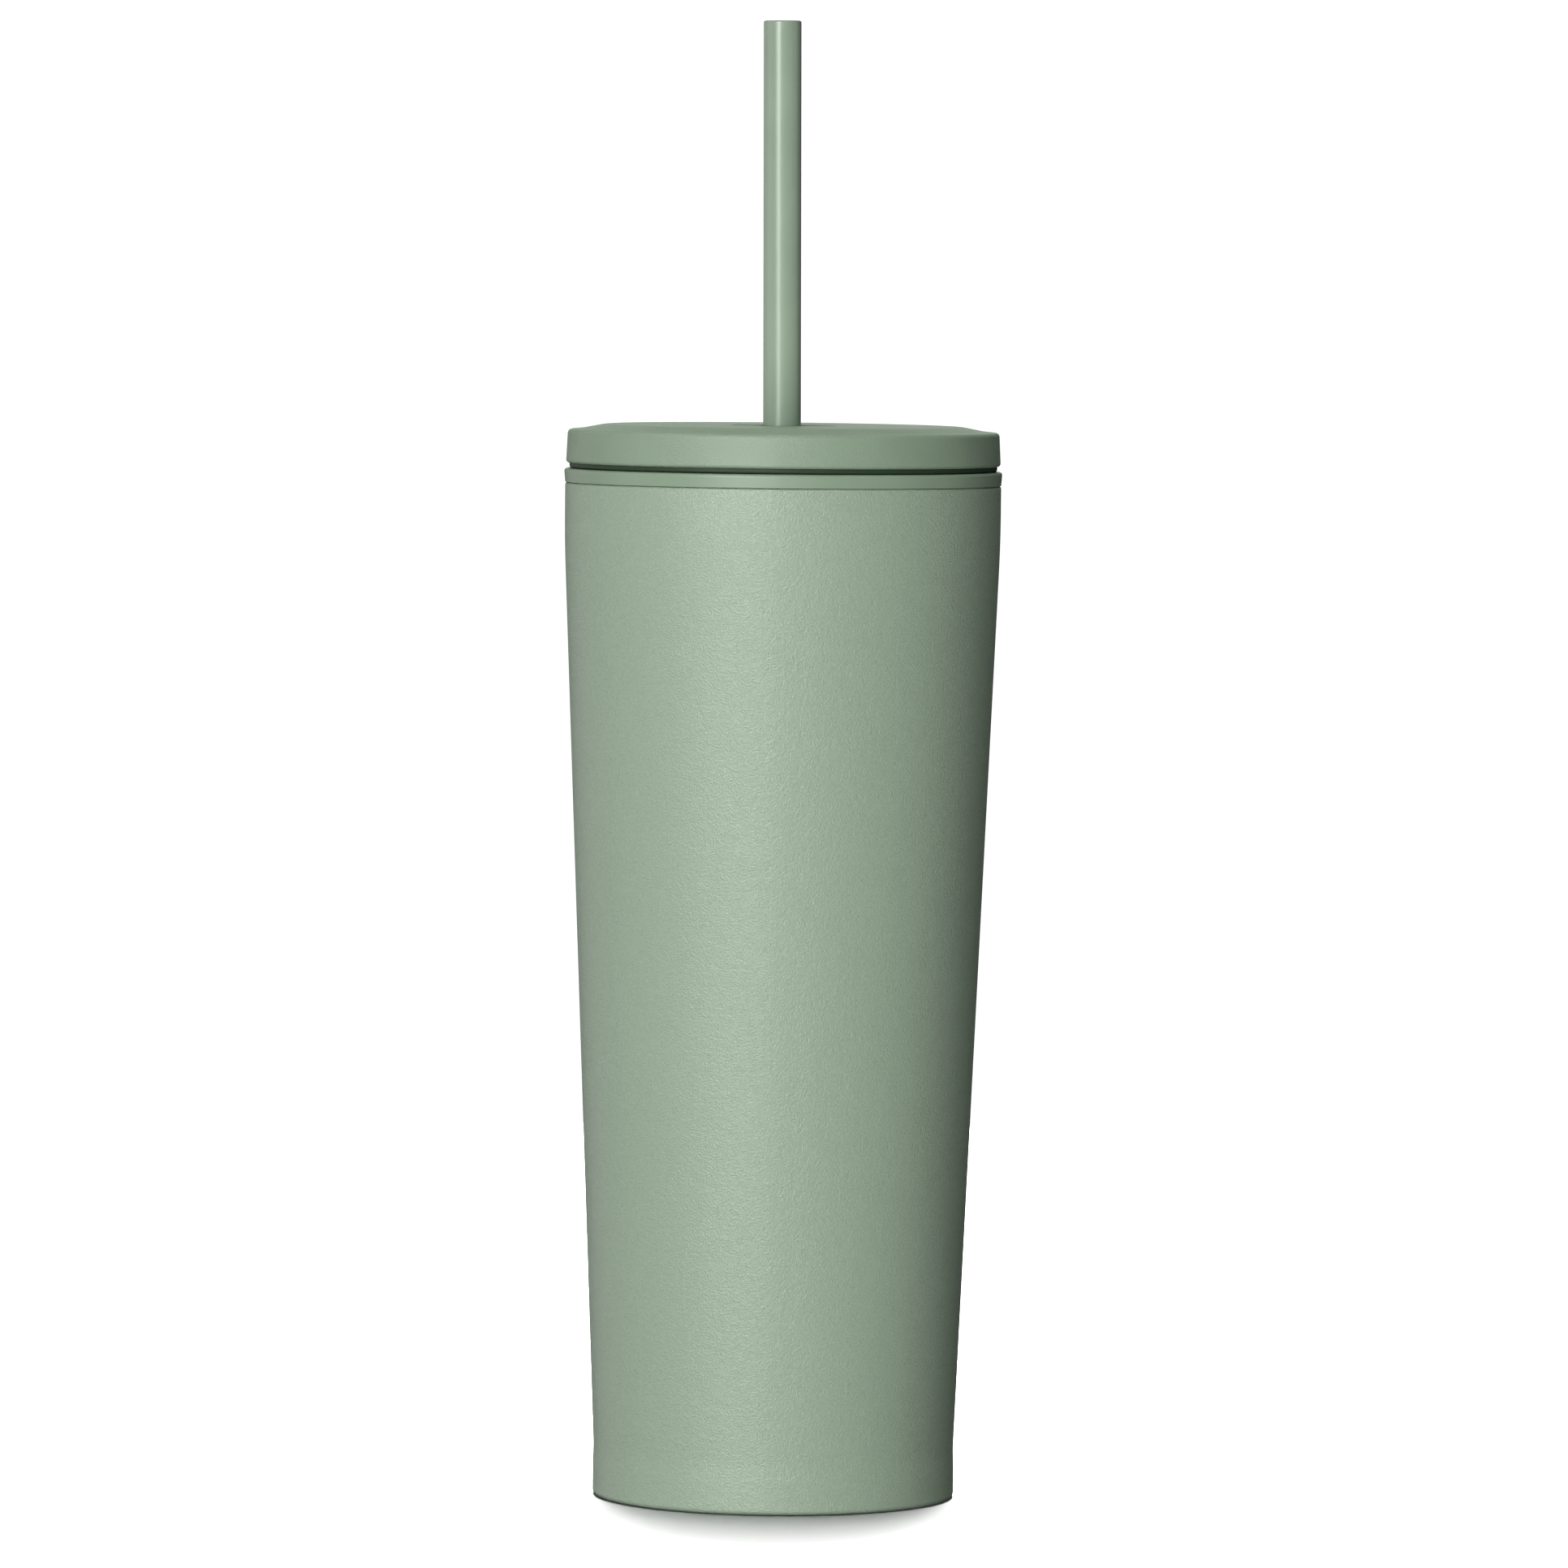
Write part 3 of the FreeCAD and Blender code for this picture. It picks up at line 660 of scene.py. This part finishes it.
def make_seal():
    """Silicone seal: a flange between lid and rim, and a sleeve with two lips in the mouth."""
    bore, sleeve, sleeve_bottom = 40.34, 41.1, 203.05
    lip, lip_heights, lip_rounding, half_height = 41.62, (204.6, 207.6), 0.15, 0.6
    flange, flange_bottom, flange_top, flange_rounding = 43.6, 210.02, 210.96, 0.42
    corners = [(bore, sleeve_bottom), (sleeve, sleeve_bottom)]
    for height in lip_heights:
        corners += [
            (sleeve, height - half_height),
            (lip, height, lip_rounding),
            (sleeve, height + half_height),
        ]
    corners += [
        (sleeve, flange_bottom),
        (flange, flange_bottom, flange_rounding),
        (flange, flange_top),
        (bore, flange_top),
    ]
    mesh = turned_mesh("seal", corners)
    # The seal is coloured near black: painted shade for the gap under the lid.
    material = silicone("seal_silicone", SEAL_PAINTED_SHADE_GREEN)
    return place("seal", mesh, "lid", "lid_seal", material)


def straw_axis_x(height):
    """Where the leaning straw's axis crosses a height above the table."""
    drift = (PLATFORM_HEIGHT - height) * math.tan(math.radians(STRAW_LEAN))
    return STRAW_ENTRY_OFFSET + drift


def make_grommet():
    """Silicone grommet snapped into the cap, its bore along the straw's leaning axis."""
    bore = STRAW_RADIUS + STRAW_CLEARANCE
    countersink, countersink_depth = 5.0, 0.7
    body, bead, tip, disc, disc_rounding = 6.15, 6.95, 5.8, 10.6, 0.12
    bottom, bead_bottom, bead_top, disc_bottom, disc_top = 214.3, 216.0, 216.9, 218.68, 218.97
    corners = [
        (bore, bottom),
        (tip, bottom),
        (bead, bead_bottom),
        (bead, bead_top),
        (body, bead_top),
        (body, disc_bottom),
        (disc, disc_bottom),
        (disc, disc_top, disc_rounding),
        (countersink, disc_top),
        (bore, disc_top - countersink_depth),
    ]

    def bore_offset(radius, height):
        """Rings of the bore and its countersink are centred on the straw."""
        return straw_axis_x(height) if radius < countersink + NEARLY_ZERO else 0.0

    mesh = turned_mesh("grommet", corners, bore_offset)
    # Darker than the cap: painted shade round the straw's foot.
    material = silicone("grommet_silicone", GROMMET_PAINTED_SHADE_GREEN)
    return place("grommet", mesh, "lid", "straw_grommet", material)


# ---------------------------------------------------------------------------
# The straw
# ---------------------------------------------------------------------------
def make_straw():
    """Rigid drinking straw with rounded ends and a stopper bead near its lower end."""
    bore_rounding, end_rounding, stopper_rounding = 0.25, 0.4, 0.5
    stopper, stopper_bottom, stopper_height, stopper_slope = 5.4, 9.5, 3.5, 0.9
    stopper_top = stopper_bottom + stopper_height
    corners = [
        (STRAW_BORE, 0, bore_rounding),
        (STRAW_RADIUS, 0, end_rounding),
        (STRAW_RADIUS, stopper_bottom),
        (stopper, stopper_bottom + stopper_slope, stopper_rounding),
        (stopper, stopper_top - stopper_slope, stopper_rounding),
        (STRAW_RADIUS, stopper_top),
        (STRAW_RADIUS, STRAW_LENGTH, end_rounding),
        (STRAW_BORE, STRAW_LENGTH, bore_rounding),
    ]
    mesh = turned_mesh("drinking_straw", corners)
    foot = Vector((straw_axis_x(STRAW_FOOT), 0, STRAW_FOOT)) * MM
    lean = Matrix.Rotation(-math.radians(STRAW_LEAN), 4, "Y")
    mesh.transform(Matrix.Translation(foot) @ lean)
    return place("drinking_straw", mesh, "straw", "straw", extruded_plastic())


# ---------------------------------------------------------------------------
# CAD nodes that stay as they are
# ---------------------------------------------------------------------------
def dress(node, material):
    """Give a CAD node its finish."""
    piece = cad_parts[node]
    piece.data.materials.clear()
    piece.data.materials.append(material)


# ---------------------------------------------------------------------------
# Stage, light and camera
# ---------------------------------------------------------------------------
def link_mesh(name, shape):
    """Make an object from a bmesh."""
    mesh = bpy.data.meshes.new(name)
    shape.to_mesh(mesh)
    shape.free()
    made = bpy.data.objects.new(name, mesh)
    bpy.context.scene.collection.objects.link(made)
    return made


def hide_from_object(thing):
    """Keep a stage piece out of the object's reflections and bounced light."""
    thing.visible_diffuse = False
    thing.visible_glossy = False
    thing.visible_transmission = False


def make_floor():
    """A round white sheet under the tumbler."""
    shape = bmesh.new()
    bmesh.ops.create_circle(shape, cap_ends=True, segments=FACETS, radius=FLOOR_RADIUS)
    floor = link_mesh("floor", shape)
    finish = Finish("floor_white", Base_Color=FLOOR_WHITE, Roughness=0.9)
    finish.set(Specular_IOR_Level=0.0)
    floor.data.materials.append(finish.material)
    hide_from_object(floor)
    floor.visible_shadow = False
    return floor


def make_dome():
    """The white surroundings that the camera sees."""
    shape = bmesh.new()
    bmesh.ops.create_uvsphere(shape, u_segments=64, v_segments=32, radius=DOME_RADIUS)
    dome = link_mesh("dome", shape)
    finish = Finish("dome_white", Base_Color=BLACK, Emission_Color=WHITE)
    finish.set(Emission_Strength=DOME_BRIGHTNESS, Specular_IOR_Level=0.0)
    dome.data.materials.append(finish.material)
    hide_from_object(dome)
    dome.visible_shadow = False
    return dome


def add_softbox(name, azimuth, elevation, distance, width, height, power, mirrored):
    """A rectangular light that faces the tumbler."""
    data = bpy.data.lights.new(name, "AREA")
    data.shape = "RECTANGLE"
    data.size = width
    data.size_y = height
    data.energy = power
    light = bpy.data.objects.new(name, data)
    bpy.context.scene.collection.objects.link(light)
    turn, rise = math.radians(azimuth), math.radians(elevation)
    outward = Vector((
        math.sin(turn) * math.cos(rise),
        -math.cos(turn) * math.cos(rise),
        math.sin(rise),
    ))
    light.location = LIGHT_TARGET + outward * distance
    light.rotation_euler = outward.to_track_quat("Z", "Y").to_euler()
    light.visible_camera = False
    light.visible_glossy = mirrored
    return light


def link_light(light, things, state):
    """Let a light reach these objects alone ("INCLUDE") or all the others ("EXCLUDE")."""
    group = bpy.data.collections.new(f"{light.name}_link")
    for thing in things:
        group.objects.link(thing)
    for member in group.collection_objects:
        member.light_linking.link_state = state
    light.light_linking.receiver_collection = group


def add_lights(floor, bare_steel):
    """Soft studio light, with lights of their own for the floor and for the bare steel pieces."""
    for softbox in SOFTBOXES:
        link_light(add_softbox(*softbox), [floor], "EXCLUDE")
    for softbox in STEEL_LIGHTS:
        link_light(add_softbox(*softbox), bare_steel, "INCLUDE")
    link_light(add_softbox(*FLOOR_LIGHT), [floor], "INCLUDE")
    world = bpy.data.worlds.new("studio")
    world.use_nodes = True
    background = world.node_tree.nodes["Background"]
    background.inputs["Color"].default_value = WHITE
    background.inputs["Strength"].default_value = AMBIENT
    bpy.context.scene.world = world


def add_camera():
    """The photograph's viewpoint: just above the lid, looking slightly down, rolled a little."""
    data = bpy.data.cameras.new("camera")
    data.sensor_width = CAMERA_SENSOR
    data.lens = CAMERA_LENS
    data.clip_start = CAMERA_NEAR
    data.clip_end = 2 * DOME_RADIUS
    camera = bpy.data.objects.new("camera", data)
    bpy.context.scene.collection.objects.link(camera)
    where = Matrix.Translation((CAMERA_SIDE, -CAMERA_DISTANCE, CAMERA_HEIGHT))
    pitch = Matrix.Rotation(math.radians(90 - CAMERA_PITCH), 4, "X")
    roll = Matrix.Rotation(math.radians(CAMERA_ROLL), 4, "Z")
    camera.matrix_world = where @ pitch @ roll
    bpy.context.scene.camera = camera


# ---------------------------------------------------------------------------
# Build
# ---------------------------------------------------------------------------
make_shell()
liner = make_liner(turned_steel("liner_steel", STEEL, bands=24.0, smooth=0.30, rough=0.46))
base_cover = make_base_cover(turned_steel("cover_steel", STEEL, bands=17.143, smooth=0.26, rough=0.42))
make_base_pad()
make_collar()
make_cap()
make_plug()
make_seal()
make_grommet()
make_straw()

dress("copper_foil", copper_foil())
dress("vacuum_base", turned_steel("base_steel", tinted(STEEL, 0.9), bands=12.0, smooth=0.34, rough=0.50))
dress("seal_bead", solder_glass())
dress("getter", getter_metal())
dress("getter_clip", rolled_steel("clip_steel", tinted(STEEL, 0.95)))

bpy.context.scene.view_settings.view_transform = "Standard"
floor = make_floor()
make_dome()
add_lights(floor, [liner, base_cover])
add_camera()
